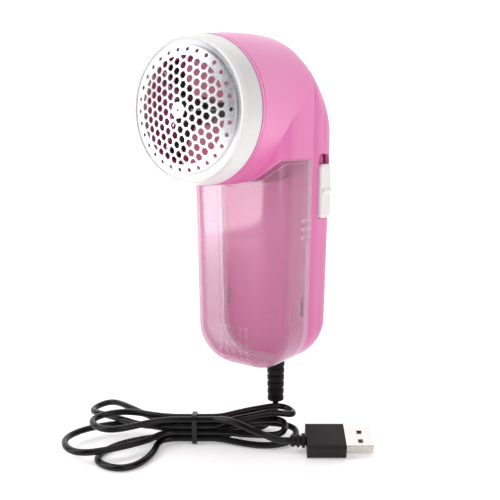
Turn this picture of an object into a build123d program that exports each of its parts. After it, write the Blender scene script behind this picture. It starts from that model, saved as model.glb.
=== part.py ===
from build123d import *
import os
from math import cos, pi, radians, sin, sqrt

# USB fabric shaver. Millimetres, +Z up. The origin is the centre of the mesh rim on the cutter axis,
# which runs along Y. -Y is the front that meets the cloth, +X is the side with the switch.

os.makedirs("parts", exist_ok=True)

# ---- Driving dimensions -------------------------------------------------------------------------
wall = 1.8                  # casing wall
bin_wall = 1.5              # clear bin wall
gap = 0.2                   # clearance between separate mouldings

head_front = 9.0            # depth of the casing's front face
waist_y = 52.0              # depth of the recess wall behind the bin
part_y = 62.0               # depth of the parting plane between front casing and rear cover
casing_back = 72.5          # depth of the flat back
casing_bottom = -110.5
bin_top = -19.0

front_r = 29.0              # head radius at the casing's front face
waist_half_width = 24.4
side_taper = 1.8            # how much narrower each side is at the bottom
taper_top = -30.0           # the sides are upright above this height
crown_y = 43.0              # depth of the highest point of the head
crown_height = 32.0
elbow_base = -5.0           # height where the elbow meets the flat back
barrel_depth = 29.0         # axis to underside of the head

handle_front = 28.0
side_round = 8.0            # rounding of the rear side edges
front_round = 9.0           # rounding of the bin's front side edges
foot_round = 12.0           # rounding of the bottom, seen from the side
foot_corner = 17.0          # rounding of the bottom corners, seen from the front

spigot_outer_r = 25.8
chamber_r = 24.0
spigot_front = 4.2

mesh_r = 26.5
dome_edge_r = 23.6
dome_depth = 5.0            # the dome stands this far in front of its rim
dome_sphere_r = 77.0
mesh_thickness = 0.4
hex_pitch = 3.58
hex_flats = 2.6
hex_field_r = 20.2          # the hexagons are cut off outside this radius
hex_turn = 5.8              # degrees the pattern is turned in its plane
boss_r = 3.0                # plain centre of the mesh
ring_hole_count = 30
ring_hole_r = 0.78
ring_hole_circle_r = 22.3

shaft_r = 1.0
bush_clearance = 0.05
motor_r = 12.2
motor_front = 16.6
motor_back = 47.4
motor_screw_x = 8.5

button_bottom = -44.9
button_top = -21.6
button_travel = 4.0
button_half_depth = 4.4

cable_r = 1.45
relief_bottom = -134.0

# Lint bin details
rim_front = 48.5            # the bin's wall thickens into a rim behind this depth
rim_extra = 1.0
ridge_heights = (-45.0, -48.5, -52.0)
ridge_front = 44.5
ridge_back = 51.5
dot_top = -91.0
dot_pitch = 3.5
dot_r = 0.95

# Switch parts
carrier_inner_x = 20.2
button_inner_x = 21.4
button_outer_x = 25.8

# Wires and cable
wire_r = 0.65
cable_top = -93.0
relief_bore_r = 1.5
relief_top = -104.5
relief_flange_r = 4.2
relief_flange_bottom = -106.5
relief_shoulder_r = 4.7
relief_shoulder_z = -113.6
relief_rib_r = 4.2
relief_groove_r = 3.4
relief_rib_count = 6
cable_inlet_z = -136.5      # the cable leaves its straight run here and curls onto the table

# Coil of cable on the table: where it is tied, and its direction in degrees from +X
coil_x = -20.4
coil_y = 26.3
coil_z = -145.6
coil_turn = 35.7
coil_pitch = 3.0            # spacing of the tied passes
tied_half_length = 7.0
tie_half_width = 1.1
tie_thickness = 0.8

# USB plug, rolled about its length
plug_start = 50.0           # distance along the coil of the moulding's cable end
plug_across = -10.0
plug_z = -142.8
plug_roll = 18.0
plug_width = 16.0
plug_height = 7.0
plug_length = 17.0
plug_relief_length = 7.0
plug_socket_r = 1.48
shell_width = 12.0
shell_height = 4.5
shell_sheet = 0.3
shell_length = 12.0

# Collar profile radii
collar_bore_r = 26.0
collar_land_r = 27.2
collar_waist_r = 28.1
collar_base_r = 28.8
collar_land_back = 2.0      # the cylindrical land that a cap can push onto ends here

# Mesh details
rim_step_r = 24.3
pip_hole_r = 0.45

# Rotor
blade_root = 5.8
blade_reach = 21.6
blade_sphere_r = 76.35
blade_thickness = 0.5
hub_r = 5.4
hub_front = -3.4
hub_socket_front = 4.8
hub_back = 9.4
arm_front = 2.6
arm_back = 5.4
arm_half_width = 2.6
arm_reach = 20.5
dog_flats = 5.0
dog_front = 5.6
dog_back = 13.4
dog_flange_r = 5.4
dog_flange_thickness = 1.0
spring_r = 4.3
spring_wire_r = 0.3
spring_turns = 3
shaft_back = 50.0
core_front = 23.0
core_back = 37.5
core_r = 8.6
shoe_slope = 1.35           # tangent of half the angle that a pole's shoe covers
commutator_r = 2.6

# Motor
can_wall = 0.8
cap_depth = 2.0
bush_r = 2.8
terminal_x = 7.0
terminal_length = 4.0
duct_top = -13.0

# Motor bracket, its ledge and the lint duct
bracket_front = 14.0
bracket_thickness = 2.5
ledge_thickness = 3.0
ledge_r = 20.8              # inner radius of the ledge
bracket_screw_r = 22.7
bracket_screw_angles = (90, 210, 330)
duct_half_width = 10.0
duct_wall = 1.2
lint_hole_x = 9.5
lint_hole_front = 32.0
lint_hole_back = 45.0

# Self-tapping screws
screw_shank_r = 0.95
screw_pilot_r = 1.05
screw_clear_r = 1.3
screw_head_r = 2.1
screw_head_height = 1.3
screw_slot_depth = 0.6
screw_sink = 2.2            # depth of the rear cover's counterbores
casing_screw_places = ((0.0, -36.0), (-15.0, -88.0), (15.0, -88.0))
clamp_screw_x = 7.0
clamp_z = -98.0

# Bin tongues
tongue_x = 20.2
tongue_z = -84.0
tongue_thickness = 1.6
tongue_height = 8.0
tongue_length = 2.7

# Slide switch
switch_back = 12.0
switch_front = 19.4
switch_half_depth = 4.2
switch_bottom = -41.3
switch_top = -21.2

# Strain relief
relief_neck_r = 3.2


def facing_front(y):
    """A sketch plane at depth y, with sketch x along X and sketch y along Z. Extruding goes to -Y."""
    return Plane.XZ.offset(-y)


def write(piece, name):
    """Label a finished piece and write it as its own file."""
    piece.part.label = name
    export_step(piece.part, f"parts/{name}.step")


def axis_tube(outer_r, inner_r, y0, y1):
    """A tube, or a disc with a hole, about the cutter axis."""
    with BuildPart() as tube:
        with BuildSketch(facing_front(y1)):
            Circle(outer_r)
            Circle(inner_r, mode=Mode.SUBTRACT)
        extrude(amount=y1 - y0)
    return tube.part


def axis_rod(radius, y0, y1, x=0.0, z=0.0):
    """A plain cylinder along Y."""
    with BuildPart() as rod:
        with BuildSketch(facing_front(y1)):
            with Locations((x, z)):
                Circle(radius)
        extrude(amount=y1 - y0)
    return rod.part


def block(x0, x1, y0, y1, z0, z1):
    """A rectangular block between two corners."""
    with BuildPart() as box:
        with BuildSketch(Plane.XY.offset(z0)):
            with Locations(((x0 + x1) / 2, (y0 + y1) / 2)):
                Rectangle(x1 - x0, y1 - y0)
        extrude(amount=z1 - z0)
    return box.part


# ---- Outer form of the casing -------------------------------------------------------------------
def rounding(depth, face, radius):
    """How far an edge of this radius has curved inwards at a depth near the face."""
    run = max(0.0, radius - abs(face - depth))
    return radius - sqrt(radius**2 - run**2)


def crown(y, inset):
    """Height of the head's top: a gentle rise to the crown, then the elbow's elliptical fall."""
    top = crown_height - inset
    if y < crown_y:
        return top - (crown_height - front_r) * ((crown_y - y) / (crown_y - head_front)) ** 2
    reach = min(1.0, (y - crown_y) / (casing_back - inset - crown_y))
    return elbow_base + (top - elbow_base) * sqrt(1 - reach**2)


def side_points(width, top, foot):
    """Both sides and the bottom of an outline, before its bottom corners are rounded."""
    left = [(-width, top), (-width, taper_top), (side_taper - width, foot)]
    right = [(-x, z) for x, z in reversed(left)]
    return left + right


def head_form(inset):
    """The head from its front face to the waist, with every face moved inwards by inset."""
    waist = waist_y + abs(inset)
    half_width = waist_half_width - inset
    with BuildPart() as form:
        for y in (head_front + max(inset, 0), 18.0, 27.0, 36.0, 44.0, waist):
            turn = (y - head_front) / (waist - head_front)
            centre = (crown(waist, inset) - half_width) * sin(pi / 2 * turn)
            width = half_width + (front_r - waist_half_width) * (1 - turn) ** 2
            with BuildSketch(facing_front(y)):
                with BuildLine():
                    EllipticalCenterArc((0, centre), width, crown(y, inset) - centre, arc_size=180)
                    EllipticalCenterArc(
                        (0, centre), width, barrel_depth - inset + centre, start_angle=180, arc_size=180
                    )
                make_face()
        loft()
    return form.part


def back_form(inset):
    """The casing behind the waist: arched top, straight sides, rounded rear edges and bottom."""
    steps = 6
    last = casing_back - inset
    curl = foot_round - inset
    curved = [last - curl + curl * sin(pi / 2 * i / steps) for i in range(steps + 1)]
    with BuildPart() as form:
        for y in [waist_y + inset, 57.0] + curved:
            curve = rounding(y, last, side_round - inset)
            width = waist_half_width - inset - curve
            foot = casing_bottom + inset + rounding(y, last, curl)
            spring = crown(y, inset) - width
            with BuildSketch(facing_front(y)) as outline:
                with BuildLine():
                    CenterArc((0, spring), width, 0, 180)
                    Polyline(*side_points(width, spring, foot))
                make_face()
                fillet(outline.vertices().group_by(Axis.Y)[0], foot_corner - inset - curve)
        loft()
    return form.part


def front_form(inset, back):
    """The lower front of the body, which the bin fills, up to the spring of the head's arch."""
    steps = 6
    first = handle_front + inset
    curl = foot_round - inset
    top = crown(waist_y, inset) - waist_half_width + inset
    with BuildPart() as form:
        for y in [first + curl * (1 - cos(pi / 2 * i / steps)) for i in range(steps + 1)]:
            curve = rounding(y, first, front_round - inset)
            width = waist_half_width - inset - curve
            foot = casing_bottom + inset + rounding(y, first, curl)
            with BuildSketch(facing_front(y)) as outline:
                with BuildLine():
                    Polyline(*side_points(width, top, foot), close=True)
                make_face()
                fillet(outline.vertices().group_by(Axis.Y)[0], foot_corner - inset - curve)
        loft()
        extrude(form.faces().sort_by(Axis.Y)[-1], amount=back - first - curl, dir=(0, 1, 0))
    return form.part


# ---- Both casing shells, before they are parted --------------------------------------------------
below_shoulder = block(-40, 40, 0, waist_y, casing_bottom - 20, bin_top)

with BuildPart() as head_underside:
    # The head is filled out to a full cylinder where the bin slides past it.
    add(front_form(0, waist_y))
    add(axis_rod(front_r, 0, waist_y + 5), mode=Mode.INTERSECT)

with BuildPart() as casing_room:
    add(back_form(wall))
    add(head_form(wall))

with BuildPart() as casing_shell:
    add(front_form(0, waist_y))
    add(below_shoulder, mode=Mode.SUBTRACT)
    add(head_form(0))
    add(head_underside.part)
    add(back_form(0))
    add(casing_room.part, mode=Mode.SUBTRACT)


def slot_cutter(width_y, z0, z1, corner, x0, x1):
    """A rounded upright slot through the side wall, at the parting plane."""
    with BuildPart() as cutter:
        with BuildSketch(Plane.YZ.offset(x0)):
            with Locations((part_y, (z0 + z1) / 2)):
                RectangleRounded(width_y, z1 - z0, corner)
        extrude(amount=x1 - x0)
    return cutter.part


def upright_rod(radius, z0, z1, x, y):
    """A plain cylinder along Z."""
    with BuildPart() as rod:
        with BuildSketch(Plane.XY.offset(z0)):
            with Locations((x, y)):
                Circle(radius)
        extrude(amount=z1 - z0)
    return rod.part


front_half = block(-60, 60, -20, part_y - gap / 4, -160, 60)
rear_half = block(-60, 60, part_y + gap / 4, 100, -160, 60)
button_slot = slot_cutter(
    2 * button_half_depth + 2 * gap, button_bottom - 0.4, button_top + button_travel + 0.4, 2.4, 18.0, 40.0
)
cable_hole = upright_rod(relief_neck_r + gap / 2, casing_bottom - 5, casing_bottom + 8, 0, part_y)

# ---- Front casing -------------------------------------------------------------------------------
with BuildPart() as front_casing:
    add(casing_shell.part)
    add(front_half, mode=Mode.INTERSECT)
    # Blade chamber: mouth through the front face, and the spigot that the collar slides over.
    add(axis_rod(chamber_r, head_front - 1, head_front + wall + 1), mode=Mode.SUBTRACT)
    add(axis_tube(spigot_outer_r, chamber_r, spigot_front, head_front + 0.5))
    # Ledge that the motor bracket rests against, open at the bottom for the lint.
    add(axis_tube(front_r - 2, ledge_r, bracket_front - ledge_thickness, bracket_front))
    add(
        block(-duct_half_width, duct_half_width, head_front + wall, bracket_front, -27.0, 0),
        mode=Mode.SUBTRACT,
    )
    for angle in bracket_screw_angles:
        x, z = bracket_screw_r * cos(radians(angle)), bracket_screw_r * sin(radians(angle))
        add(axis_rod(screw_pilot_r, bracket_front - 2.6, bracket_front + 1, x, z), mode=Mode.SUBTRACT)
    # A fine groove behind the front edge.
    add(axis_tube(front_r + 3, front_r - 0.65, head_front + 2.0, head_front + 2.4), mode=Mode.SUBTRACT)
    # Lint opening in the underside of the head.
    add(block(-lint_hole_x, lint_hole_x, lint_hole_front, lint_hole_back, -40, -20), mode=Mode.SUBTRACT)
    # Slots for the bin's two tongues.
    for side in (-1, 1):
        with BuildSketch(facing_front(waist_y + wall + 1)):
            with Locations((side * tongue_x, tongue_z)):
                Rectangle(tongue_thickness + 2 * gap, tongue_height + 2 * gap)
        extrude(amount=wall + 2, mode=Mode.SUBTRACT)
    # Bosses for the casing screws and the cable clamp screws.
    for x, z in casing_screw_places:
        add(axis_rod(3.2, waist_y + wall - 0.4, part_y - gap, x, z))
        add(axis_rod(screw_pilot_r, waist_y + wall + 0.6, part_y + 1, x, z), mode=Mode.SUBTRACT)
    for x in (-clamp_screw_x, clamp_screw_x):
        add(axis_rod(2.4, waist_y + wall - 0.4, part_y - gap, x, clamp_z))
        add(axis_rod(screw_pilot_r, waist_y + wall + 0.6, part_y + 1, x, clamp_z), mode=Mode.SUBTRACT)
    # Saddle under the cable clamp.
    add(block(-2.5, 2.5, waist_y + wall - 0.4, part_y - cable_r - 0.1, clamp_z - 2.5, clamp_z + 2.5))
    # Shelves and a rib that trap the slide switch.
    for z in (switch_bottom - gap - 1.4, switch_top + gap):
        add(block(switch_back, carrier_inner_x - 0.4, waist_y + wall - 0.4, part_y - gap, z, z + 1.4))
    rib_z = switch_bottom + 4
    add(block(switch_back, switch_front - 1, waist_y + wall - 0.4, part_y - switch_half_depth - gap,
              rib_z, rib_z + 1.4))
    add(button_slot, mode=Mode.SUBTRACT)
    add(cable_hole, mode=Mode.SUBTRACT)
write(front_casing, "front_casing")

# ---- Rear cover ---------------------------------------------------------------------------------
with BuildPart() as rear_cover:
    add(casing_shell.part)
    add(rear_half, mode=Mode.INTERSECT)
    for x, z in casing_screw_places:
        add(axis_rod(4.2, part_y + gap, casing_back - wall + 0.4, x, z))
        add(axis_rod(screw_clear_r, part_y, casing_back + 1, x, z), mode=Mode.SUBTRACT)
        head_room = axis_rod(screw_head_r + 0.3, casing_back - screw_sink, casing_back + 1, x, z)
        add(head_room, mode=Mode.SUBTRACT)
    # Post that presses on the cable clamp.
    add(block(-3, 3, part_y + cable_r + 2.4, casing_back - wall + 0.4, clamp_z - 1, clamp_z + 1))
    # Rib that keeps the slide switch from moving back.
    add(block(switch_back, switch_front - 1, part_y + switch_half_depth + gap, casing_back - wall + 0.4,
              rib_z, rib_z + 1.4))
    add(button_slot, mode=Mode.SUBTRACT)
    add(cable_hole, mode=Mode.SUBTRACT)
write(rear_cover, "rear_cover")


# ---- Mesh collar --------------------------------------------------------------------------------
with BuildPart() as mesh_collar:
    with BuildSketch(Plane.XY):
        with BuildLine():
            Polyline(
                (collar_base_r, head_front - gap), (collar_bore_r, head_front - gap), (collar_bore_r, 0.5),
                (mesh_r + 0.1, 0.5), (mesh_r + 0.1, -0.05), (collar_bore_r, -0.05), (collar_bore_r, -0.5),
                (collar_land_r, -0.5), (collar_land_r, collar_land_back),
            )
            ThreePointArc(
                (collar_land_r, collar_land_back), (collar_waist_r, 5.0), (collar_base_r, head_front - gap)
            )
        make_face()
    revolve(axis=Axis.Y)
write(mesh_collar, "mesh_collar")

# ---- Mesh retaining ring, behind the mesh rim ---------------------------------------------------
with BuildPart() as mesh_ring:
    add(axis_tube(spigot_outer_r, dome_edge_r, 0.45, spigot_front - gap))
write(mesh_ring, "mesh_ring")

# ---- Domed mesh ---------------------------------------------------------------------------------
dome_centre_y = dome_sphere_r - dome_depth
inner_sphere_r = dome_sphere_r - mesh_thickness


def sphere_y(radius, sphere_r):
    """Depth of a sphere about the dome's centre, at a distance from the cutter axis."""
    return dome_centre_y - sqrt(sphere_r**2 - radius**2)


def hex_places():
    """Centres of the hexagonal holes, in a turned honeycomb, that reach into the hexagon field."""
    reach = int(hex_field_r / hex_pitch) + 2
    turn = radians(hex_turn)
    places = []
    for column in range(-reach, reach + 1):
        for row in range(-2 * reach, 2 * reach + 1):
            x = column * hex_pitch * sqrt(3) / 2
            z = (row + (column % 2) / 2) * hex_pitch
            if 0 < sqrt(x * x + z * z) < hex_field_r + hex_flats / 2 - 0.5:
                places.append((x * cos(turn) - z * sin(turn), x * sin(turn) + z * cos(turn)))
    return places


with BuildPart() as mesh_foil:
    edge_y = sphere_y(dome_edge_r, dome_sphere_r)
    inner_edge_y = sphere_y(dome_edge_r, inner_sphere_r)
    with BuildSketch(Plane.XY):
        with BuildLine():
            RadiusArc((0, -dome_depth), (dome_edge_r, edge_y), -dome_sphere_r)
            Polyline(
                (dome_edge_r, edge_y), (rim_step_r, 0), (mesh_r, 0), (mesh_r, mesh_thickness),
                (rim_step_r - 0.3, mesh_thickness), (dome_edge_r - 0.3, inner_edge_y),
            )
            RadiusArc(
                (dome_edge_r - 0.3, inner_edge_y), (0, mesh_thickness - dome_depth), inner_sphere_r
            )
            Line((0, mesh_thickness - dome_depth), (0, -dome_depth))
        make_face()
    revolve(axis=Axis.Y)
    with BuildSketch(facing_front(2.0)):
        with Locations(*hex_places()):
            RegularPolygon(hex_flats / 2, 6, major_radius=False, rotation=hex_turn)
        Circle(hex_field_r, mode=Mode.INTERSECT)
        Circle(boss_r, mode=Mode.SUBTRACT)
        with PolarLocations(ring_hole_circle_r, ring_hole_count):
            Circle(ring_hole_r)
        Circle(pip_hole_r)
    extrude(amount=10, mode=Mode.SUBTRACT)
write(mesh_foil, "mesh_foil")

# ---- Rotor: hub, blades, spring, drive dog, shaft, armature -------------------------------------
with BuildPart() as blade_hub:
    # Boss with a hexagonal socket that slides on the drive dog.
    add(axis_rod(hub_r, hub_front, hub_back))
    with BuildSketch(facing_front(hub_back)):
        RegularPolygon(dog_flats / 2 + 0.1, 6, major_radius=False)
    extrude(amount=hub_back - hub_socket_front, mode=Mode.SUBTRACT)
    # Three arms under the blades.
    for turn in (0, 120, 240):
        arm = block(hub_r - 1, arm_reach, arm_front, arm_back, -arm_half_width, arm_half_width)
        add(arm.rotate(Axis.Y, turn))
    fillet(blade_hub.edges().group_by(Axis.Y)[0], 1.2)
write(blade_hub, "blade_hub")

with BuildPart() as one_blade:
    with BuildSketch(Plane.XY):
        with BuildLine():
            RadiusArc(
                (blade_root, sphere_y(blade_root, blade_sphere_r)),
                (blade_reach, sphere_y(blade_reach, blade_sphere_r)),
                -blade_sphere_r,
            )
            Polyline(
                (blade_reach, sphere_y(blade_reach, blade_sphere_r)), (blade_reach, arm_front - 0.05),
                (blade_root, arm_front - 0.05), (blade_root, sphere_y(blade_root, blade_sphere_r)),
            )
        make_face()
    extrude(amount=blade_thickness / 2, both=True)

with BuildPart() as cutter_blades:
    for turn in (0, 120, 240):
        add(one_blade.part.rotate(Axis.Y, turn))
write(cutter_blades, "cutter_blades")

with BuildPart() as drive_dog:
    add(axis_rod(dog_flange_r, dog_back - dog_flange_thickness, dog_back))
    with BuildSketch(facing_front(dog_back)):
        RegularPolygon(dog_flats / 2, 6, major_radius=False)
    extrude(amount=dog_back - dog_front)
    add(axis_rod(shaft_r + 0.02, dog_front + 1.0, dog_back + 1), mode=Mode.SUBTRACT)
write(drive_dog, "drive_dog")

with BuildPart() as blade_spring:
    # A short compression spring between the hub and the dog's flange.
    spring_front = hub_back + spring_wire_r + 0.05
    spring_length = dog_back - dog_flange_thickness - spring_wire_r - 0.05 - spring_front
    with BuildLine() as coil:
        Helix(
            pitch=spring_length / spring_turns, height=spring_length, radius=spring_r,
            center=(0, spring_front, 0), direction=(0, 1, 0),
        )
    with BuildSketch(Plane(origin=coil.line @ 0, z_dir=coil.line % 0)):
        Circle(spring_wire_r)
    sweep()
write(blade_spring, "blade_spring")

with BuildPart() as motor_shaft:
    add(axis_rod(shaft_r, dog_front + 1.2, shaft_back))
    chamfer(motor_shaft.edges().filter_by(GeomType.CIRCLE), 0.2)
write(motor_shaft, "motor_shaft")

with BuildPart() as motor_armature:
    # Three-pole laminated core: a neck and a curved shoe for each pole.
    with BuildSketch(facing_front(core_back)):
        Circle(3.0)
        with PolarLocations(0, 3):
            with Locations((4.4, 0)):
                Rectangle(6.0, 2.6)
        with BuildSketch(mode=Mode.PRIVATE) as shoe:
            Circle(core_r)
            Circle(core_r - 1.8, mode=Mode.SUBTRACT)
            with BuildLine():
                Polyline((0, 0), (12, 12 * shoe_slope), (12, -12 * shoe_slope), close=True)
            make_face(mode=Mode.INTERSECT)
        for turn in (0, 120, 240):
            add(shoe.sketch.rotate(Axis.Z, turn))
        Circle(shaft_r + 0.02, mode=Mode.SUBTRACT)
    extrude(amount=core_back - core_front)
write(motor_armature, "motor_armature")

with BuildPart() as motor_windings:
    # One coil round each pole's neck.
    for turn in (0, 120, 240):
        coil_block = block(3.4, 6.0, core_front - 1.6, core_back + 1.6, -2.7, 2.7)
        neck = block(3.0, 7.0, core_front - 0.1, core_back + 0.1, -1.4, 1.4)
        add((coil_block - neck).rotate(Axis.Y, turn))
write(motor_windings, "motor_windings")

with BuildPart() as commutator:
    add(axis_tube(commutator_r, shaft_r + 0.02, core_back + 2.2, core_back + 6.0))
    for turn in (60, 180, 300):
        slit = block(0, 5, core_back + 2.0, core_back + 5.4, -0.15, 0.15)
        add(slit.rotate(Axis.Y, turn), mode=Mode.SUBTRACT)
write(commutator, "commutator")

# ---- Motor --------------------------------------------------------------------------------------
with BuildPart() as motor_can:
    add(axis_rod(motor_r, motor_front, motor_back - cap_depth))
    add(axis_rod(motor_r - can_wall, motor_front + can_wall, motor_back), mode=Mode.SUBTRACT)
    add(axis_rod(bush_r + 0.7, motor_front - 1.6, motor_front + 0.5))
    add(axis_rod(bush_r + 0.05, 10, 20), mode=Mode.SUBTRACT)
    for x in (-motor_screw_x, motor_screw_x):
        add(axis_rod(screw_pilot_r, 10, 20, x, 0), mode=Mode.SUBTRACT)
write(motor_can, "motor_can")

with BuildPart() as motor_magnets:
    with BuildSketch(facing_front(core_back + 1.5)):
        Circle(motor_r - can_wall - 0.05)
        Circle(core_r + 0.5, mode=Mode.SUBTRACT)
        Rectangle(30, 9.0, mode=Mode.SUBTRACT)
    extrude(amount=core_back - core_front + 3.0)
write(motor_magnets, "motor_magnets")

with BuildPart() as motor_end_cap:
    add(axis_rod(motor_r, motor_back - cap_depth + 0.05, motor_back))
    add(axis_rod(bush_r + 1.2, motor_back - 0.5, motor_back + 1.8))
    add(axis_rod(bush_r + 0.05, motor_back - cap_depth - 1, motor_back + 1.2), mode=Mode.SUBTRACT)
    add(axis_rod(shaft_r + 0.4, motor_back - 1, motor_back + 3), mode=Mode.SUBTRACT)
write(motor_end_cap, "motor_end_cap")

with BuildPart() as motor_bushes:
    add(axis_tube(bush_r, shaft_r + bush_clearance, motor_front - 1.4, motor_front + 2.0))
    add(axis_tube(bush_r, shaft_r + bush_clearance, motor_back - cap_depth - 0.8, motor_back + 1.1))
write(motor_bushes, "motor_bushes")

with BuildPart() as motor_brushes:
    brush_y = core_back + 4.0
    for side in (-1, 1):
        inner, outer = sorted((side * (commutator_r + 0.1), side * (commutator_r + 1.7)))
        add(block(inner, outer, brush_y - 1.2, brush_y + 1.2, -1.2, 1.2))
        inner, outer = sorted((side * (commutator_r + 1.7), side * (commutator_r + 2.1)))
        add(block(inner, outer, brush_y - 1.2, motor_back - cap_depth, -1.2, 1.2))
write(motor_brushes, "motor_brushes")

with BuildPart() as motor_terminals:
    for side in (-1, 1):
        inner, outer = sorted((side * terminal_x, side * (terminal_x + 0.5)))
        add(block(inner, outer, motor_back + 0.02, motor_back + terminal_length, -1.4, 1.4))
    fillet(motor_terminals.edges().filter_by(Axis.X).group_by(Axis.Y)[-1], 0.9)
write(motor_terminals, "motor_terminals")

with BuildPart() as noise_capacitor:
    # A small ceramic disc across the motor terminals, on two bent legs.
    capacitor_y = motor_back + terminal_length + 1.0
    add(axis_rod(2.6, capacitor_y - 0.8, capacitor_y + 0.8))
    for side in (-1, 1):
        reach = terminal_x - 0.3
        inner, outer = sorted((side * 2.3, side * reach))
        add(block(inner, outer, capacitor_y - 0.3, capacitor_y + 0.3, -0.3, 0.3))
        inner, outer = sorted((side * (reach - 0.6), side * reach))
        add(block(inner, outer, capacitor_y - 2.4, capacitor_y + 0.3, -0.3, 0.3))
write(noise_capacitor, "noise_capacitor")

# ---- Motor bracket and screws -------------------------------------------------------------------
with BuildPart() as motor_bracket:
    bracket_back = bracket_front + bracket_thickness
    add(head_form(wall + gap))
    add(block(-40, 40, bracket_front + 0.05, bracket_back, -40, 40), mode=Mode.INTERSECT)
    add(axis_rod(bush_r + 1.0, 10, 20), mode=Mode.SUBTRACT)
    add(block(-duct_half_width, duct_half_width, 10, 20, -27.5, duct_top), mode=Mode.SUBTRACT)
    for x in (-motor_screw_x, motor_screw_x):
        add(axis_rod(screw_clear_r, 10, 20, x, 0), mode=Mode.SUBTRACT)
    for angle in bracket_screw_angles:
        x, z = bracket_screw_r * cos(radians(angle)), bracket_screw_r * sin(radians(angle))
        add(axis_rod(screw_clear_r, 10, 20, x, z), mode=Mode.SUBTRACT)
write(motor_bracket, "motor_bracket")


def pan_screw(x, z, seat_y, length, towards):
    """A pan-head screw along Y. towards is +1 when its tip points to +Y."""
    head_y = sorted((seat_y, seat_y - towards * screw_head_height))
    shank_y = sorted((seat_y, seat_y + towards * length))
    with BuildPart() as screw:
        add(axis_rod(screw_head_r, head_y[0], head_y[1], x, z))
        add(axis_rod(screw_shank_r, shank_y[0], shank_y[1], x, z))
        # Cross recess.
        slot_y = sorted(
            seat_y - towards * depth for depth in (screw_head_height, screw_head_height - screw_slot_depth)
        )
        for half_x, half_z in ((1.2, 0.25), (0.25, 1.2)):
            recess = block(x - half_x, x + half_x, slot_y[0], slot_y[1], z - half_z, z + half_z)
            add(recess, mode=Mode.SUBTRACT)
    return screw.part


with BuildPart() as motor_screws:
    for x in (-motor_screw_x, motor_screw_x):
        add(pan_screw(x, 0, bracket_front, 4.4, 1))
write(motor_screws, "motor_screws")

with BuildPart() as bracket_screws:
    for angle in bracket_screw_angles:
        x, z = bracket_screw_r * cos(radians(angle)), bracket_screw_r * sin(radians(angle))
        add(pan_screw(x, z, bracket_back + 0.05, bracket_thickness + 2.2, -1))
write(bracket_screws, "bracket_screws")

with BuildPart() as casing_screws:
    for x, z in casing_screw_places:
        add(pan_screw(x, z, casing_back - screw_sink + 0.02, 11.5, -1))
write(casing_screws, "casing_screws")

with BuildPart() as clamp_screws:
    for x in (-clamp_screw_x, clamp_screw_x):
        add(pan_screw(x, clamp_z, part_y + cable_r + 2.15, 8.0, -1))
write(clamp_screws, "clamp_screws")

with BuildPart() as cable_clamp:
    clamp_front = part_y + cable_r + 0.05
    add(block(-9.5, 9.5, clamp_front, clamp_front + 2.0, clamp_z - 2.5, clamp_z + 2.5))
    fillet(cable_clamp.edges().filter_by(Axis.Y), 1.5)
    for x in (-clamp_screw_x, clamp_screw_x):
        add(axis_rod(screw_clear_r, clamp_front - 1, clamp_front + 3, x, clamp_z), mode=Mode.SUBTRACT)
write(cable_clamp, "cable_clamp")

# ---- Lint duct: an open-bottomed hood from the blade chamber to the bin -------------------------
with BuildPart() as lint_duct:
    outer_x = duct_half_width + duct_wall
    add(block(-outer_x, outer_x, bracket_back + 0.1, lint_hole_back + duct_wall, -40, duct_top))
    inner_block = block(
        -duct_half_width, duct_half_width, bracket_back - 1, lint_hole_back, -41, duct_top - duct_wall
    )
    add(inner_block, mode=Mode.SUBTRACT)
    add(head_form(wall + gap), mode=Mode.INTERSECT)
write(lint_duct, "lint_duct")


# ---- Lint bin -----------------------------------------------------------------------------------
with BuildPart() as bin_room:
    add(front_form(bin_wall, rim_front))
    add(front_form(bin_wall + rim_extra, waist_y + 1))
    add(block(-40, 40, 0, waist_y + 2, casing_bottom - 5, bin_top - gap - bin_wall), mode=Mode.INTERSECT)
    add(axis_rod(front_r + gap + bin_wall, 0, waist_y + 2), mode=Mode.SUBTRACT)

with BuildPart() as lint_bin:
    add(front_form(0, waist_y))
    add(block(-40, 40, 0, waist_y - gap, casing_bottom - 5, bin_top - gap), mode=Mode.INTERSECT)
    add(axis_rod(front_r + gap, 0, waist_y + 2), mode=Mode.SUBTRACT)
    add(bin_room.part, mode=Mode.SUBTRACT)
    add(block(-lint_hole_x, lint_hole_x, lint_hole_front, lint_hole_back, -40, -20), mode=Mode.SUBTRACT)
    for side in (-1, 1):
        # Tongue into the recess wall.
        with BuildSketch(facing_front(waist_y + tongue_length)):
            with Locations((side * tongue_x, tongue_z)):
                Rectangle(tongue_thickness, tongue_height)
        extrude(amount=tongue_length + waist_y - rim_front - 0.2)
        # Fine grip ridges.
        for z in ridge_heights:
            x = side * (waist_half_width - 0.9)
            inner, outer = sorted((x, x + side * 1.1))
            add(block(inner, outer, ridge_front, ridge_back, z - 0.4, z + 0.4))
    # Five rows of five raised thumb dots on the front.
    for row in range(5):
        z = dot_top - row * dot_pitch
        y = handle_front + rounding(-z, -casing_bottom, foot_round)
        with Locations(*[((column - 2) * dot_pitch, y + 0.3, z) for column in range(5)]):
            Sphere(dot_r, rotation=(90, 0, 0))
write(lint_bin, "lint_bin")

# ---- Switch -------------------------------------------------------------------------------------
button_middle = (button_bottom + button_top) / 2
switch_middle = button_middle + button_travel / 2

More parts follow.
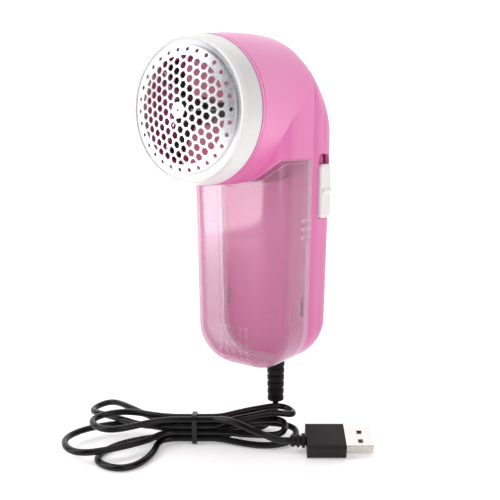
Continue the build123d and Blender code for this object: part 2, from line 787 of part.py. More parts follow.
with BuildPart() as switch_button:
    with BuildSketch(Plane.YZ.offset(button_inner_x)):
        with Locations((part_y, button_middle)):
            RectangleRounded(2 * button_half_depth, button_top - button_bottom, 2.0)
    extrude(amount=button_outer_x - button_inner_x)
    fillet(switch_button.faces().sort_by(Axis.X)[-1].edges(), 0.9)
    # Thumb ridge.
    with BuildSketch(Plane.XZ.offset(-part_y)) as ridge:
        with Locations((button_outer_x - 0.2, button_middle)):
            Ellipse(0.9, 1.3)
    extrude(amount=button_half_depth - 0.9, both=True)
    add(block(button_inner_x - 1, button_inner_x + 1.6, part_y - 1.6, part_y + 1.6,
              button_middle - 1.6, button_middle + 1.6), mode=Mode.SUBTRACT)
write(switch_button, "switch_button")

with BuildPart() as switch_carrier:
    # The sliding plate behind the slot, which the button clips to.
    with BuildSketch(Plane.YZ.offset(carrier_inner_x)):
        with Locations((part_y, button_middle + 0.4)):
            RectangleRounded(2 * button_half_depth + 0.8, button_top - button_bottom + 8.0, 2.0)
        with Locations((part_y, button_middle)):
            Rectangle(3.2, 3.2, mode=Mode.SUBTRACT)
    extrude(amount=button_inner_x - 0.05 - carrier_inner_x)
write(switch_carrier, "switch_carrier")

with BuildPart() as switch_slider:
    add(block(15.4, 18.0, part_y - 2.4, part_y + 2.4, button_middle - 2.6, button_middle + 2.6))
    add(block(17.9, 22.8, part_y - 1.4, part_y + 1.4, button_middle - 1.4, button_middle + 1.4))
write(switch_slider, "switch_slider")

with BuildPart() as slide_switch:
    half_room = button_travel / 2 + 2.6 + gap
    half_slot = button_travel / 2 + 1.4 + gap
    add(block(switch_back, switch_front, part_y - switch_half_depth, part_y + switch_half_depth,
              switch_bottom, switch_top))
    add(block(15.1, 18.2, part_y - 2.6, part_y + 2.6, switch_middle - half_room, switch_middle + half_room),
        mode=Mode.SUBTRACT)
    add(block(18.0, 20.0, part_y - 1.6, part_y + 1.6, switch_middle - half_slot, switch_middle + half_slot),
        mode=Mode.SUBTRACT)
write(slide_switch, "slide_switch")

with BuildPart() as switch_terminals:
    for z in (switch_middle - 6, switch_middle, switch_middle + 6):
        add(block(switch_back - 3.5, switch_back - 0.02, part_y - 1.2, part_y + 1.2, z - 0.25, z + 0.25))
write(switch_terminals, "switch_terminals")


def round_cable(points, radius, start_direction, end_direction):
    """A round cable or wire swept along a smooth path."""
    with BuildPart() as cable:
        with BuildLine() as path:
            Spline(*points, tangents=(start_direction, end_direction))
        with BuildSketch(Plane(origin=path.line @ 0, z_dir=path.line % 0)):
            Circle(radius)
        sweep(is_frenet=True)
    return cable.part


up, down = (0, 0, 1), (0, 0, -1)
pin_end_x = switch_back - 3.5 - 0.2
motor_pin_x = terminal_x + 0.5 + wire_r + 0.1
motor_pin_y = motor_back + terminal_length - 1.0
wire_start_z = cable_top + 0.1

with BuildPart() as wire_supply:
    supply_path = [
        (0.75, part_y, wire_start_z), (5.0, part_y + 1, -66), (pin_end_x - 3, part_y, switch_middle - 9),
        (pin_end_x, part_y, switch_middle - 6),
    ]
    add(round_cable(supply_path, wire_r, up, (1, 0, 0.2)))
write(wire_supply, "wire_supply")

with BuildPart() as wire_switched:
    switched_path = [
        (pin_end_x, part_y, switch_middle + 6), (5.0, part_y - 1, -18), (motor_pin_x + 0.5, part_y - 5, -9),
        (motor_pin_x, motor_pin_y, 0.5),
    ]
    add(round_cable(switched_path, wire_r, (-1, 0, 0.2), (0, -0.3, 1)))
write(wire_switched, "wire_switched")

with BuildPart() as wire_return:
    return_path = [
        (-0.75, part_y, wire_start_z), (-7.5, part_y + 1, -62), (-7.5, part_y, -36),
        (-motor_pin_x - 0.5, part_y - 5, -9), (-motor_pin_x, motor_pin_y, 0.5),
    ]
    add(round_cable(return_path, wire_r, up, (0, -0.3, 1)))
write(wire_return, "wire_return")

# ---- Strain relief ------------------------------------------------------------------------------
with BuildPart() as strain_relief:
    with BuildSketch(Plane.XZ.offset(-part_y)):
        with BuildLine():
            outline = [
                (relief_bore_r, relief_top), (relief_flange_r, relief_top),
                (relief_flange_r, relief_flange_bottom), (relief_neck_r, relief_flange_bottom),
                (relief_neck_r, casing_bottom - 0.4),
                (relief_shoulder_r, casing_bottom - 0.4), (relief_shoulder_r - 0.3, relief_shoulder_z),
            ]
            rib_pitch = (relief_shoulder_z - relief_bottom) / relief_rib_count
            for rib in range(relief_rib_count):
                z = relief_shoulder_z - rib * rib_pitch
                taper = 0.4 * rib / relief_rib_count
                outline += [
                    (relief_groove_r - taper, z), (relief_groove_r - taper, z - 0.35 * rib_pitch),
                    (relief_rib_r - taper, z - 0.42 * rib_pitch), (relief_rib_r - taper, z - rib_pitch),
                ]
            outline.append((relief_bore_r, relief_bottom))
            Polyline(*outline, close=True)
        make_face()
    revolve(axis=Axis((0, part_y, 0), (0, 0, 1)))
write(strain_relief, "strain_relief")

# ---- Cable, coiled on the table ------------------------------------------------------------------
def on_table(along, across, level):
    """A point of the coil: distances along and across the tied passes, and its level in the stack."""
    turn = radians(coil_turn)
    return (
        coil_x + along * cos(turn) - across * sin(turn),
        coil_y + along * sin(turn) + across * cos(turn),
        coil_z + level * coil_pitch,
    )


# The bends before each tied pass, and the last run to the plug. The passes go to and fro, and each pair
# of passes lies one level higher than the pair before.
coil_bends = [
    [(30, 12.5, -0.3), (18, 5.5, -0.1)],
    [(-21, 0, -0.2), (-36, -8, -0.37), (-40, -21, -0.37), (-29, -28, -0.37), (-17, -12, -0.2)],
    [(20, -4.5, -0.2), (36, -6.5, -0.3), (44, -3, 0), (46, 4.5, 0.5), (38, 8.5, 0.9), (20, 5.5, 1)],
    [(-26, 7, 1), (-46, 5, 0.9), (-57, -8, 0.8), (-50, -20, 0.8), (-33, -18, 1), (-18, -7.5, 1)],
    [(20, -3.2, 1), (31, -4.8, 1), (40, -3, 1.3), (40.5, 3.6, 1.9), (32, 5.8, 2), (18, 4, 2)],
    [(-20, 8, 2), (-36, 23, 2), (-46, 29, 1.6), (-51, 23, 1.4), (-44, 13, 1.8), (-24, 0, 1.95)],
    [
        (15, -0.4, 2.6), (25, 1.5, 3.1), (37, 4, 3.3), (45, 6.3, 2.9), (43, 11.7, 3.0), (30, 9.7, 3.3),
        (18, 4.8, 3.1),
    ],
    [(-21, 4, 3.05), (-35, 6, 3.15), (-46, -1, 2.9), (-39, -11, 2.9), (-22, -6, 3)],
    [(15, -5.2, 3.4), (23, -9, 2.9), (33, -11.5, 1.8)],
]
turn = radians(coil_turn)

with BuildPart() as usb_cable:
    add(upright_rod(cable_r, cable_inlet_z, cable_top, 0, part_y))
    start, direction = (0, part_y, cable_inlet_z), down
    for number, bends in enumerate(coil_bends[:-1]):
        heading = 1 if number % 2 else -1
        across, level = -heading * coil_pitch / 2, number // 2
        along = (heading * cos(turn), heading * sin(turn), 0)
        entry = on_table(-heading * tied_half_length, across, level)
        leave = on_table(heading * tied_half_length, across, level)
        path = [start, *[on_table(*bend) for bend in bends], entry]
        add(round_cable(path, cable_r, direction, along))
        with BuildSketch(Plane(origin=entry, z_dir=along)):
            Circle(cable_r)
        extrude(amount=2 * tied_half_length)
        start, direction = leave, along
    # The last 4 mm are straight, inside the plug's relief.
    cable_end = plug_start - plug_relief_length - 1.0
    plug_entry = on_table(cable_end, plug_across, (plug_z - coil_z) / coil_pitch)
    path = [start, *[on_table(*bend) for bend in coil_bends[-1]], plug_entry]
    add(round_cable(path, cable_r, direction, direction))
    with BuildSketch(Plane(origin=plug_entry, z_dir=direction)):
        Circle(cable_r)
    extrude(amount=4.0)
write(usb_cable, "usb_cable")

# ---- Tie round the coil --------------------------------------------------------------------------
with BuildPart() as cable_tie:
    tie_height = 3 * coil_pitch + 2 * cable_r + 0.3
    tie_width = coil_pitch + 2 * cable_r + 0.5
    tie_x, tie_y, tie_z = on_table(-tie_half_width, 0, 1.5)
    tie_plane = Plane(
        origin=(tie_x, tie_y, tie_z), x_dir=(-sin(turn), cos(turn), 0), z_dir=(cos(turn), sin(turn), 0)
    )
    with BuildSketch(tie_plane):
        RectangleRounded(
            tie_width + 2 * tie_thickness, tie_height + 2 * tie_thickness, cable_r + tie_thickness
        )
        RectangleRounded(tie_width, tie_height, cable_r, mode=Mode.SUBTRACT)
    extrude(amount=2 * tie_half_width)
write(cable_tie, "cable_tie")


# ---- USB plug ------------------------------------------------------------------------------------
def plug_plane(distance):
    """A cross-section of the plug, this far along the coil. Sketch x is the plug's width."""
    x, y, _ = on_table(distance, plug_across, 0)
    roll = radians(plug_roll)
    across = (-sin(turn) * cos(roll), cos(turn) * cos(roll), sin(roll))
    return Plane(origin=(x, y, plug_z), x_dir=across, z_dir=(cos(turn), sin(turn), 0))


plug_end = plug_start + plug_length

with BuildPart() as usb_plug_body:
    # Overmoulding, with a small ribbed relief round the cable.
    with BuildSketch(plug_plane(plug_start)):
        RectangleRounded(plug_width, plug_height, 1.6)
    extrude(amount=plug_length)
    with BuildSketch(plug_plane(plug_start - plug_relief_length)):
        Circle(2.2)
    extrude(amount=plug_relief_length + 0.5)
    for rib in range(3):
        with BuildSketch(plug_plane(plug_start - plug_relief_length + 0.5 + 2.3 * rib)):
            Circle(2.7 + 0.25 * rib)
        extrude(amount=1.3)
    with BuildSketch(plug_plane(plug_start - plug_relief_length - 1)):
        Circle(plug_socket_r)
    extrude(amount=4.1, mode=Mode.SUBTRACT)
    # Pocket that holds the back of the metal shell.
    with BuildSketch(plug_plane(plug_end - 6.0)):
        RectangleRounded(shell_width + 0.04, shell_height + 0.04, 0.7)
    extrude(amount=7, mode=Mode.SUBTRACT)
write(usb_plug_body, "usb_plug_body")

with BuildPart() as usb_shell:
    with BuildSketch(plug_plane(plug_end - 5.9)):
        RectangleRounded(shell_width, shell_height, 0.7)
        RectangleRounded(
            shell_width - 2 * shell_sheet, shell_height - 2 * shell_sheet, 0.4, mode=Mode.SUBTRACT
        )
    extrude(amount=5.9 + shell_length)
    # Two latch windows in each broad face.
    for across in (-2.8, 2.8):
        with BuildSketch(plug_plane(plug_end + 5.5)):
            with Locations((across, 0)):
                Rectangle(2.2, shell_height + 2)
        extrude(amount=2.2, mode=Mode.SUBTRACT)
write(usb_shell, "usb_shell")

with BuildPart() as usb_tongue:
    # White insulator: a block in the back of the shell, with the contact tongue in front of it.
    with BuildSketch(plug_plane(plug_end - 5.8)):
        Rectangle(shell_width - 2 * shell_sheet - 0.5, shell_height - 2 * shell_sheet - 0.1)
    extrude(amount=5.0)
    with BuildSketch(plug_plane(plug_end - 1.0)):
        with Locations((0, -0.95)):
            Rectangle(shell_width - 2 * shell_sheet - 0.5, 1.9)
    extrude(amount=shell_length)
write(usb_tongue, "usb_tongue")

with BuildPart() as usb_contacts:
    for across in (-3.5, -1.0, 1.0, 3.5):
        with BuildSketch(plug_plane(plug_end + 1.5)):
            with Locations((across, 0.17)):
                Rectangle(1.0, 0.3)
        extrude(amount=8.0)
write(usb_contacts, "usb_contacts")
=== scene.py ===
import math

import bmesh
import bpy
from mathutils import Matrix, Vector


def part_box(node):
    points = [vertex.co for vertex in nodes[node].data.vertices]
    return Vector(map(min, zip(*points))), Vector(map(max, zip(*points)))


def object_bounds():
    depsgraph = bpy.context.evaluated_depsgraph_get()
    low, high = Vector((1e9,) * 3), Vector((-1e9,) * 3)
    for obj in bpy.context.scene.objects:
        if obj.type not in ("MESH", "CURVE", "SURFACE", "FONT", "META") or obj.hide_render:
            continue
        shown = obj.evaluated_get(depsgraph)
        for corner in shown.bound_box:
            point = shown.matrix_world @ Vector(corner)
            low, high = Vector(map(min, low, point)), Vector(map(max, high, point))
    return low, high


# Pink fabric shaver: the looks. Metres, +Z up, the same frame as the CAD. -Y is the mesh's side.

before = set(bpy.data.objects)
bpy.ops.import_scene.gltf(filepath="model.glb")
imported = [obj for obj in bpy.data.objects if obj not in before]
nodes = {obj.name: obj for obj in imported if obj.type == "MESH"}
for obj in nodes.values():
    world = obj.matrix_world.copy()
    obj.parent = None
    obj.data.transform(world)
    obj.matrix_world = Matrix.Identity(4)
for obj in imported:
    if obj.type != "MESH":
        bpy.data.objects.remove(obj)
cad_low, cad_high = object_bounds()
MM = 0.001

AZIMUTH, ELEVATION = math.radians(35.7), math.radians(9.5)
CAMERA_PLACE = Vector((176.29, -204.33, -8.31)) * MM
CAMERA_LENS, CAMERA_SENSOR = 50.4, 36
HANDLE_MIDDLE = (0, 0.03, -0.05)

# The clear bin: how much each wall lets through seen straight and seen askew, the pink of the askew tint
# being painted reflection of the casing, and where the painted highlight along its rim starts.
BIN_STRAIGHT, BIN_ASKEW = (0.895, 0.865, 0.885), (0.81, 0.635, 0.725)
BIN_RIM_START, BIN_RIM_FULL = 47.8 * MM, 49.2 * MM
BIN_FOOT_HEIGHT = 22 * MM

# Backdrop sheet: how far back it goes, half its width, and the radius of its upward curve
BACKDROP_DEPTH, BACKDROP_HALF_WIDTH, BACKDROP_BEND = 1.6, 5.0, 0.7


# ---- Node helpers -------------------------------------------------------------------------------
class Shader:
    """A node material under construction."""

    def __init__(self, name):
        self.material = bpy.data.materials.new(name)
        self.material.use_nodes = True
        self.tree = self.material.node_tree
        self.surface = self.tree.nodes["Principled BSDF"]
        self.output = self.tree.nodes["Material Output"]

    def new(self, kind, **values):
        node = self.tree.nodes.new(kind)
        for key, value in values.items():
            setattr(node, key, value)
        return node

    def link(self, a, b):
        self.tree.links.new(a, b)

    def set(self, **values):
        """Set inputs of the Principled node, with _ for a space."""
        for key, value in values.items():
            self.surface.inputs[key.replace("_", " ")].default_value = value

    def place(self, scale=(1, 1, 1)):
        """Object coordinates, stretched by scale."""
        coordinates = self.new("ShaderNodeTexCoord")
        mapping = self.new("ShaderNodeMapping")
        mapping.inputs["Scale"].default_value = scale
        self.link(coordinates.outputs["Object"], mapping.inputs["Vector"])
        return mapping.outputs["Vector"]

    def split(self, vector):
        """The X, Y and Z of a vector, by name."""
        node = self.new("ShaderNodeSeparateXYZ")
        self.link(vector, node.inputs[0])
        return node.outputs

    def noise(self, vector, scale, detail=3.0, roughness=0.5):
        node = self.new("ShaderNodeTexNoise")
        node.inputs["Scale"].default_value = scale
        node.inputs["Detail"].default_value = detail
        node.inputs["Roughness"].default_value = roughness
        self.link(vector, node.inputs["Vector"])
        return node.outputs["Fac"]

    def spread(self, value, low, high, low_to, high_to):
        """Map value from low..high to low_to..high_to."""
        node = self.new("ShaderNodeMapRange")
        for index, number in enumerate((low, high, low_to, high_to)):
            node.inputs[index + 1].default_value = number
        self.link(value, node.inputs[0])
        return node.outputs[0]

    def ramp(self, value, stops):
        """Colour ramp through (position, colour) stops."""
        node = self.new("ShaderNodeValToRGB")
        elements = node.color_ramp.elements
        while len(elements) < len(stops):
            elements.new(0.5)
        for element, (position, colour) in zip(elements, stops):
            element.position = position
            element.color = (*colour, 1)
        self.link(value, node.inputs[0])
        return node.outputs["Color"]

    def maths(self, operation, a, b=0.0):
        node = self.new("ShaderNodeMath", operation=operation)
        for index, value in enumerate((a, b)):
            if isinstance(value, (int, float)):
                node.inputs[index].default_value = value
            else:
                self.link(value, node.inputs[index])
        return node.outputs[0]

    def mix(self, factor, a, b):
        """A shader that goes from a to b as factor goes from 0 to 1."""
        node = self.new("ShaderNodeMixShader")
        if isinstance(factor, float):
            node.inputs[0].default_value = factor
        else:
            self.link(factor, node.inputs[0])
        self.link(a.outputs[0], node.inputs[1])
        self.link(b.outputs[0], node.inputs[2])
        return node

    def bump(self, height, strength, distance, edge_radius=0.0):
        """Bump on the Principled node, over rounded edges if edge_radius is given."""
        node = self.new("ShaderNodeBump")
        node.inputs["Strength"].default_value = strength
        node.inputs["Distance"].default_value = distance
        self.link(height, node.inputs["Height"])
        if edge_radius:
            bevel = self.new("ShaderNodeBevel", samples=4)
            bevel.inputs["Radius"].default_value = edge_radius
            self.link(bevel.outputs[0], node.inputs["Normal"])
        self.link(node.outputs[0], self.surface.inputs["Normal"])


def shade(colour, factor):
    return tuple(min(1.0, c * factor) for c in colour)


def plastic(name, colour, rough, grain=2200, grain_depth=0.02, tone=0.04, edge=0.25, inner=0.0, painted_glow=0.0,
            shine=0.5):
    """Moulded plastic: slow tone variation, moulding grain, uneven gloss and softened edges."""
    s = Shader(name)
    where = s.place()
    cloud = s.noise(where, 28, 4, 0.55)
    s.link(s.ramp(cloud, [(0.3, shade(colour, 1 - tone)), (0.7, shade(colour, 1 + tone))]),
           s.surface.inputs["Base Color"])
    s.link(s.spread(s.noise(where, 60, 5, 0.6), 0.3, 0.7, rough * 0.88, rough * 1.12),
           s.surface.inputs["Roughness"])
    s.bump(s.noise(where, grain, 2, 0.6), 0.35, grain_depth * MM, edge * MM)
    # painted_glow makes the plastic glow, painted light that no lamp gives.
    s.set(Emission_Color=(*colour, 1), Emission_Strength=painted_glow, Specular_IOR_Level=shine)
    if inner:
        s.set(Subsurface_Weight=inner, Subsurface_Scale=0.0025, Subsurface_Radius=(1.0, 0.55, 0.7))
    return s.material


def metal(name, colour, rough, stretch=(1, 1, 1), grain=900, depth=0.01, tone=0.08, edge=0.08):
    """Bare metal with drawn or rolled grain along one direction."""
    s = Shader(name)
    where = s.place(stretch)
    grain_value = s.noise(where, grain, 4, 0.65)
    s.link(s.ramp(grain_value, [(0.3, shade(colour, 1 - tone)), (0.7, shade(colour, 1 + tone))]),
           s.surface.inputs["Base Color"])
    s.link(s.spread(grain_value, 0.3, 0.7, rough * 0.8, rough * 1.2), s.surface.inputs["Roughness"])
    s.set(Metallic=1.0)
    s.bump(grain_value, 0.3, depth * MM, edge * MM)
    return s.material


# ---- Materials ----------------------------------------------------------------------------------
def casing_pink():
    """Satin pink moulding, with light that goes a little way in, a faint flow of tone down the handle and
    painted shade that darkens it toward the bottom.
    """
    s = Shader("casing_pink")
    where = s.place()
    split = s.split(where)
    flow = s.noise(s.place((1, 1, 0.35)), 22, 3, 0.5)
    # Painted shade: the pink is lighter toward the head and darker down the handle.
    painted_light_rise = s.spread(split["Z"], -0.11, 0.03, 0.0, 1.0)
    mixed = s.maths("ADD", s.maths("MULTIPLY", flow, 0.35), s.maths("MULTIPLY", painted_light_rise, 0.65))
    tones = [(0.1, (0.69, 0.160, 0.385)), (0.55, (0.73, 0.180, 0.420)), (0.95, (0.77, 0.21, 0.47))]
    s.link(s.ramp(mixed, tones), s.surface.inputs["Base Color"])
    s.link(s.spread(s.noise(where, 70, 5, 0.6), 0.3, 0.7, 0.30, 0.40), s.surface.inputs["Roughness"])
    s.set(Subsurface_Weight=0.18, Subsurface_Scale=0.003, Subsurface_Radius=(1.0, 0.4, 0.7),
          Coat_Weight=0.08, Coat_Roughness=0.2, Specular_IOR_Level=0.36)
    s.bump(s.noise(where, 2400, 2, 0.5), 0.25, 0.015 * MM, 0.3 * MM)
    return s.material


def mesh_metal():
    """Thin etched nickel foil: fine speckle that comes out in the painted shade on the upper right, brighter
    to the middle.
    """
    s = Shader("mesh_metal")
    where = s.place()
    speckle = s.noise(where, 1900, 3, 0.7)
    smear = s.noise(s.place((1, 1, 0.5)), 90, 3, 0.5)
    both = s.maths("ADD", s.maths("MULTIPLY", speckle, 0.55), s.maths("MULTIPLY", smear, 0.45))
    # Painted shade: the upper right, which is turned to the darker side of the studio, is painted grey and
    # grainy.
    split = s.split(where)
    across = s.maths("MULTIPLY", split["X"], 0.9)
    corner = s.maths("ADD", across, s.maths("MULTIPLY", split["Z"], 0.4))
    painted_shade = s.spread(corner, 6 * MM, 26 * MM, 0.0, 0.55)
    tones = [(0.0, (0.30, 0.30, 0.32)), (0.25, (0.66, 0.66, 0.67)), (0.5, (0.87, 0.87, 0.87)),
             (0.8, (0.96, 0.96, 0.95))]
    s.link(s.ramp(s.maths("SUBTRACT", both, painted_shade), tones), s.surface.inputs["Base Color"])
    s.link(s.spread(smear, 0.3, 0.7, 0.36, 0.46), s.surface.inputs["Roughness"])
    s.set(Metallic=0.7)
    s.bump(speckle, 0.4, 0.012 * MM, 0.06 * MM)
    return s.material


def bin_clear():
    """Clear moulded plastic, with a painted pink tint that stands in for the casing's colour reflected in it,
    and painted highlights on its moulded edges.
    """
    s = Shader("bin_clear")
    where = s.place()
    foot_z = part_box("lint_bin")[0].z
    split = s.split(where)
    weight = s.new("ShaderNodeLayerWeight")
    weight.inputs["Blend"].default_value = 0.5
    facing = weight.outputs["Facing"]
    clear = s.new("ShaderNodeBsdfTransparent")
    s.link(s.ramp(facing, [(0.22, BIN_STRAIGHT), (0.42, BIN_ASKEW)]), clear.inputs["Color"])
    gloss = s.new("ShaderNodeBsdfGlossy")
    gloss.inputs["Roughness"].default_value = 0.07
    painted_tint_diffuse = s.new("ShaderNodeBsdfDiffuse")
    painted_tint_diffuse.inputs["Color"].default_value = (0.80, 0.50, 0.66, 1)
    through = s.new("ShaderNodeBsdfTranslucent")
    through.inputs["Color"].default_value = (0.86, 0.60, 0.74, 1)
    painted_casing_tint = s.mix(0.5, painted_tint_diffuse, through)
    ripple = s.noise(s.place((1, 1, 0.4)), 45, 2, 0.5)
    bump = s.new("ShaderNodeBump")
    bump.inputs["Strength"].default_value = 0.25
    bump.inputs["Distance"].default_value = 0.25 * MM
    s.link(ripple, bump.inputs["Height"])
    s.link(bump.outputs[0], gloss.inputs["Normal"])
    # Painted pink tint, the casing's colour reflected in the clear walls, is laid on the side walls and the
    # rounded foot, which are seen through more plastic.
    foot = s.spread(split["Z"], foot_z, foot_z + BIN_FOOT_HEIGHT, 0.12, 0.0)
    side = s.spread(facing, 0.22, 0.62, 0.0, 0.36)
    painted_tint_amount = s.maths("ADD", s.maths("ADD", side, foot), s.maths("MULTIPLY", ripple, 0.05))
    with_painted_tint = s.mix(painted_tint_amount, clear, painted_casing_tint)
    # Mirror-like at a grazing angle, after Schlick's formula.
    mirror = s.maths("ADD", s.maths("MULTIPLY", s.maths("POWER", facing, 5.0), 0.85), 0.035)
    shiny = s.mix(mirror, with_painted_tint, gloss)
    # Painted highlights: the moulded edges, the rows of dots, the ridges and a band along the rim are mixed
    # toward white, as if they catch the light.
    bevel = s.new("ShaderNodeBevel", samples=8)
    bevel.inputs["Radius"].default_value = 0.35 * MM
    plain = s.new("ShaderNodeNewGeometry")
    bent = s.new("ShaderNodeVectorMath", operation="DOT_PRODUCT")
    s.link(bevel.outputs[0], bent.inputs[0])
    s.link(plain.outputs["Normal"], bent.inputs[1])
    white = s.new("ShaderNodeBsdfDiffuse")
    white.inputs["Color"].default_value = (0.95, 0.90, 0.94, 1)
    lit_edge = s.spread(bent.outputs["Value"], 1.0, 0.88, 0.0, 0.8)
    painted_rim_band = s.spread(split["Y"], BIN_RIM_START, BIN_RIM_FULL, 0.0, 0.20)
    lined = s.mix(s.maths("MAXIMUM", lit_edge, painted_rim_band), shiny, white)
    # Lamp light and bounced light pass through without being blocked.
    rays = s.new("ShaderNodeLightPath")
    lighting = s.maths("MAXIMUM", rays.outputs["Is Shadow Ray"], rays.outputs["Is Diffuse Ray"])
    s.link(s.mix(lighting, lined, clear).outputs[0], s.output.inputs["Surface"])
    return s.material


def cable_black():
    """Glossy soft jacket, with slow waves in its gloss."""
    s = Shader("cable_black")
    where = s.place()
    wave = s.noise(where, 120, 3, 0.5)
    s.link(s.ramp(wave, [(0.3, (0.003, 0.003, 0.003)), (0.75, (0.008, 0.0075, 0.0075))]),
           s.surface.inputs["Base Color"])
    s.link(s.spread(wave, 0.3, 0.7, 0.22, 0.34), s.surface.inputs["Roughness"])
    s.set(Specular_IOR_Level=0.28)
    s.bump(s.noise(where, 700, 2, 0.5), 0.2, 0.03 * MM)
    return s.material


WHITE = (0.72, 0.70, 0.695)
STEEL = (0.60, 0.60, 0.61)
MATERIALS = {
    casing_pink(): ("front_casing", "rear_cover", "switch_carrier"),
    plastic("collar_white", WHITE, 0.32, grain=1500, tone=0.025, edge=0.3, inner=0.15): (
        "mesh_collar", "mesh_ring"),
    plastic("switch_white", (0.80, 0.775, 0.77), 0.42, tone=0.03, edge=0.25, inner=0.1): ("switch_button",),
    mesh_metal(): ("mesh_foil",),
    bin_clear(): ("lint_bin",),
    # The inner pink glows with painted light that lifts the shaded pocket behind the blades.
    plastic("inner_pink", (0.62, 0.24, 0.34), 0.5, tone=0.08, painted_glow=0.35): ("motor_bracket", "lint_duct"),
    plastic("inner_natural", (0.70, 0.66, 0.60), 0.5, tone=0.06): ("cable_clamp", "drive_dog"),
    plastic("hub_black", (0.02, 0.018, 0.018), 0.4, tone=0.1): ("blade_hub",),
    metal("blade_steel", (0.50, 0.50, 0.51), 0.22, (1, 1, 6)): (
        "cutter_blades", "blade_spring", "motor_shaft"),
    metal("can_zinc", STEEL, 0.38, grain=260, tone=0.12): ("motor_can",),
    metal("screw_zinc", (0.66, 0.66, 0.67), 0.30, (1, 5, 1), edge=0.1): (
        "motor_screws", "bracket_screws", "casing_screws", "clamp_screws"),
    metal("brush_carbon", (0.14, 0.14, 0.15), 0.45): ("motor_brushes",),
    metal("core_steel", (0.16, 0.16, 0.18), 0.42, (1, 9, 1)): ("motor_armature", "motor_magnets"),
    metal("winding_copper", (0.62, 0.24, 0.11), 0.33, (1, 1, 12), grain=700, depth=0.05, tone=0.2): (
        "motor_windings", "commutator"),
    metal("bush_bronze", (0.52, 0.34, 0.16), 0.42): ("motor_bushes",),
    plastic("cap_natural", (0.76, 0.73, 0.66), 0.45, tone=0.05): ("motor_end_cap",),
    metal("contact_brass", (0.72, 0.52, 0.22), 0.28): ("motor_terminals", "switch_terminals", "usb_contacts"),
    plastic("capacitor_blue", (0.03, 0.09, 0.35), 0.3, tone=0.12): ("noise_capacitor",),
    plastic("switch_black", (0.025, 0.025, 0.025), 0.45, tone=0.1): ("slide_switch", "switch_slider"),
    plastic("wire_red", (0.45, 0.02, 0.02), 0.35, tone=0.08, edge=0): ("wire_supply", "wire_switched"),
    plastic("wire_black", (0.02, 0.02, 0.02), 0.35, tone=0.1, edge=0): ("wire_return",),
    cable_black(): ("usb_cable",),
    plastic("tie_black", (0.007, 0.007, 0.007), 0.3, tone=0.15, shine=0.35): ("cable_tie",),
    plastic("relief_black", (0.011, 0.010, 0.011), 0.46, grain=1600, grain_depth=0.04, tone=0.15,
            shine=0.12): ("strain_relief",),
    plastic("plug_black", (0.020, 0.015, 0.017), 0.42, grain=1700, grain_depth=0.05, tone=0.12, edge=0.4,
            shine=0.18): ("usb_plug_body",),
    metal("plug_nickel", (0.62, 0.57, 0.55), 0.26, (5, 5, 1), grain=420, tone=0.05): ("usb_shell",),
    plastic("tongue_white", (0.75, 0.75, 0.74), 0.45): ("usb_tongue",),
}
for material, names in MATERIALS.items():
    for name in names:
        data = nodes[name].data
        data.materials.clear()
        data.materials.append(material)


# ---- Floor, backdrop and light ------------------------------------------------------------------
def studio_floor():
    """A pale floor that curves up into a backdrop, as one swept sheet, glowing with painted light that rises
    away from the object.
    """
    curve_start = BACKDROP_DEPTH - BACKDROP_BEND
    profile = [(-2.5, 0.0), (-1.0, 0.0), (0.0, 0.0), (curve_start, 0.0)]
    profile += [(curve_start + BACKDROP_BEND * math.sin(a), BACKDROP_BEND - BACKDROP_BEND * math.cos(a))
                for a in (math.radians(9 * i) for i in range(1, 11))]
    profile.append((BACKDROP_DEPTH, 3.0))
    away = Vector((-math.sin(AZIMUTH), math.cos(AZIMUTH), 0))
    side = Vector((math.cos(AZIMUTH), math.sin(AZIMUTH), 0))
    sheet = bmesh.new()
    rows = []
    for distance, height in profile:
        middle = away * distance + Vector((0, 0, cad_low.z + height))
        ends = (middle + side * x for x in (-BACKDROP_HALF_WIDTH, BACKDROP_HALF_WIDTH))
        rows.append([sheet.verts.new(p) for p in ends])
    for a, b in zip(rows, rows[1:]):
        sheet.faces.new((a[0], a[1], b[1], b[0])).smooth = True
    mesh = bpy.data.meshes.new("studio_floor")
    sheet.to_mesh(mesh)
    floor = bpy.data.objects.new("studio_floor", mesh)
    bpy.context.collection.objects.link(floor)
    s = Shader("floor_pale")
    s.link(s.ramp(s.noise(s.place(), 6, 3), [(0.3, (0.90, 0.90, 0.90)), (0.7, (0.94, 0.94, 0.94))]),
           s.surface.inputs["Base Color"])
    s.set(Roughness=0.7, Emission_Color=(1, 1, 1, 1))
    s.surface.inputs["Specular IOR Level"].default_value = 0.2
    # Painted light: the sheet glows dimly near the object and fully far from it.
    distance = s.new("ShaderNodeVectorMath", operation="LENGTH")
    s.link(s.place(), distance.inputs[0])
    painted_light_rise = s.spread(distance.outputs["Value"], 0.2, 0.7, 0.30, 1.0)
    s.link(painted_light_rise, s.surface.inputs["Emission Strength"])
    mesh.materials.append(s.material)


def soft_light(name, where, target, size, power):
    """An area light that looks at target."""
    data = bpy.data.lights.new(name, "AREA")
    data.shape = "ELLIPSE"
    data.size, data.size_y = size
    data.energy = power
    lamp = bpy.data.objects.new(name, data)
    lamp.location = where
    lamp.rotation_mode = "QUATERNION"
    lamp.rotation_quaternion = (Vector(target) - Vector(where)).to_track_quat("-Z", "Y")
    lamp.visible_camera = False
    bpy.context.collection.objects.link(lamp)


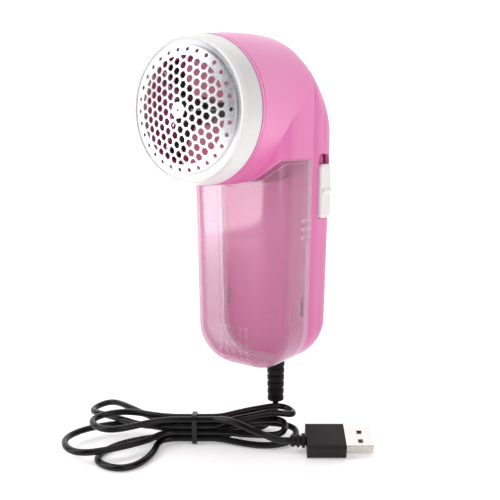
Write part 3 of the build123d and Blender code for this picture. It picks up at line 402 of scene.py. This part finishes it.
def surroundings():
    """A studio that looks white, and lights the object a little more from its left than from its right."""
    world = bpy.data.worlds.new("studio")
    bpy.context.scene.world = world
    world.use_nodes = True
    tree = world.node_tree
    background = tree.nodes["Background"]
    coordinates = tree.nodes.new("ShaderNodeTexCoord")
    direction = tree.nodes.new("ShaderNodeVectorMath")
    direction.operation = "DOT_PRODUCT"
    direction.inputs[1].default_value = Vector((-0.86, 0.45, -0.22)).normalized()
    tree.links.new(coordinates.outputs["Generated"], direction.inputs[0])
    ramp = tree.nodes.new("ShaderNodeMapRange")
    for index, number in enumerate((-0.65, 0.0, 0.016, 0.040)):
        ramp.inputs[index + 1].default_value = number
    tree.links.new(direction.outputs["Value"], ramp.inputs[0])
    rays = tree.nodes.new("ShaderNodeLightPath")
    strength = tree.nodes.new("ShaderNodeMath")
    strength.operation = "MAXIMUM"
    tree.links.new(ramp.outputs[0], strength.inputs[0])
    tree.links.new(rays.outputs["Is Camera Ray"], strength.inputs[1])
    tree.links.new(strength.outputs[0], background.inputs["Strength"])
    background.inputs["Color"].default_value = (1, 1, 1, 1)


camera_data = bpy.data.cameras.new("camera")
camera_data.sensor_width = CAMERA_SENSOR
camera_data.lens = CAMERA_LENS
camera_data.clip_start, camera_data.clip_end = 0.01, 20
camera = bpy.data.objects.new("camera", camera_data)
bpy.context.collection.objects.link(camera)
forward = Vector((-math.sin(AZIMUTH) * math.cos(ELEVATION), math.cos(AZIMUTH) * math.cos(ELEVATION),
                  -math.sin(ELEVATION)))
right = Vector((math.cos(AZIMUTH), math.sin(AZIMUTH), 0))
camera.matrix_world = (Matrix.Translation(CAMERA_PLACE)
                       @ Matrix((right, right.cross(forward), -forward)).transposed().to_4x4())
bpy.context.scene.camera = camera

studio_floor()
surroundings()
soft_light("key", (-0.45, -0.55, 0.55), (0, 0.03, -0.04), (0.7, 0.7), 5.0)
soft_light("fill", (0.75, -0.25, 0.25), HANDLE_MIDDLE, (0.7, 0.9), 2.6)
soft_light("top", (0.0, 0.15, 0.8), HANDLE_MIDDLE, (0.9, 0.9), 3.2)
# A small card at the left shows as a broad soft highlight on the clear bin.
soft_light("card", (-0.43, -0.47, -0.06), HANDLE_MIDDLE, (0.26, 0.17), 0.60)

scene = bpy.context.scene
scene.view_settings.view_transform = "Standard"
scene.cycles.transparent_max_bounces = 24
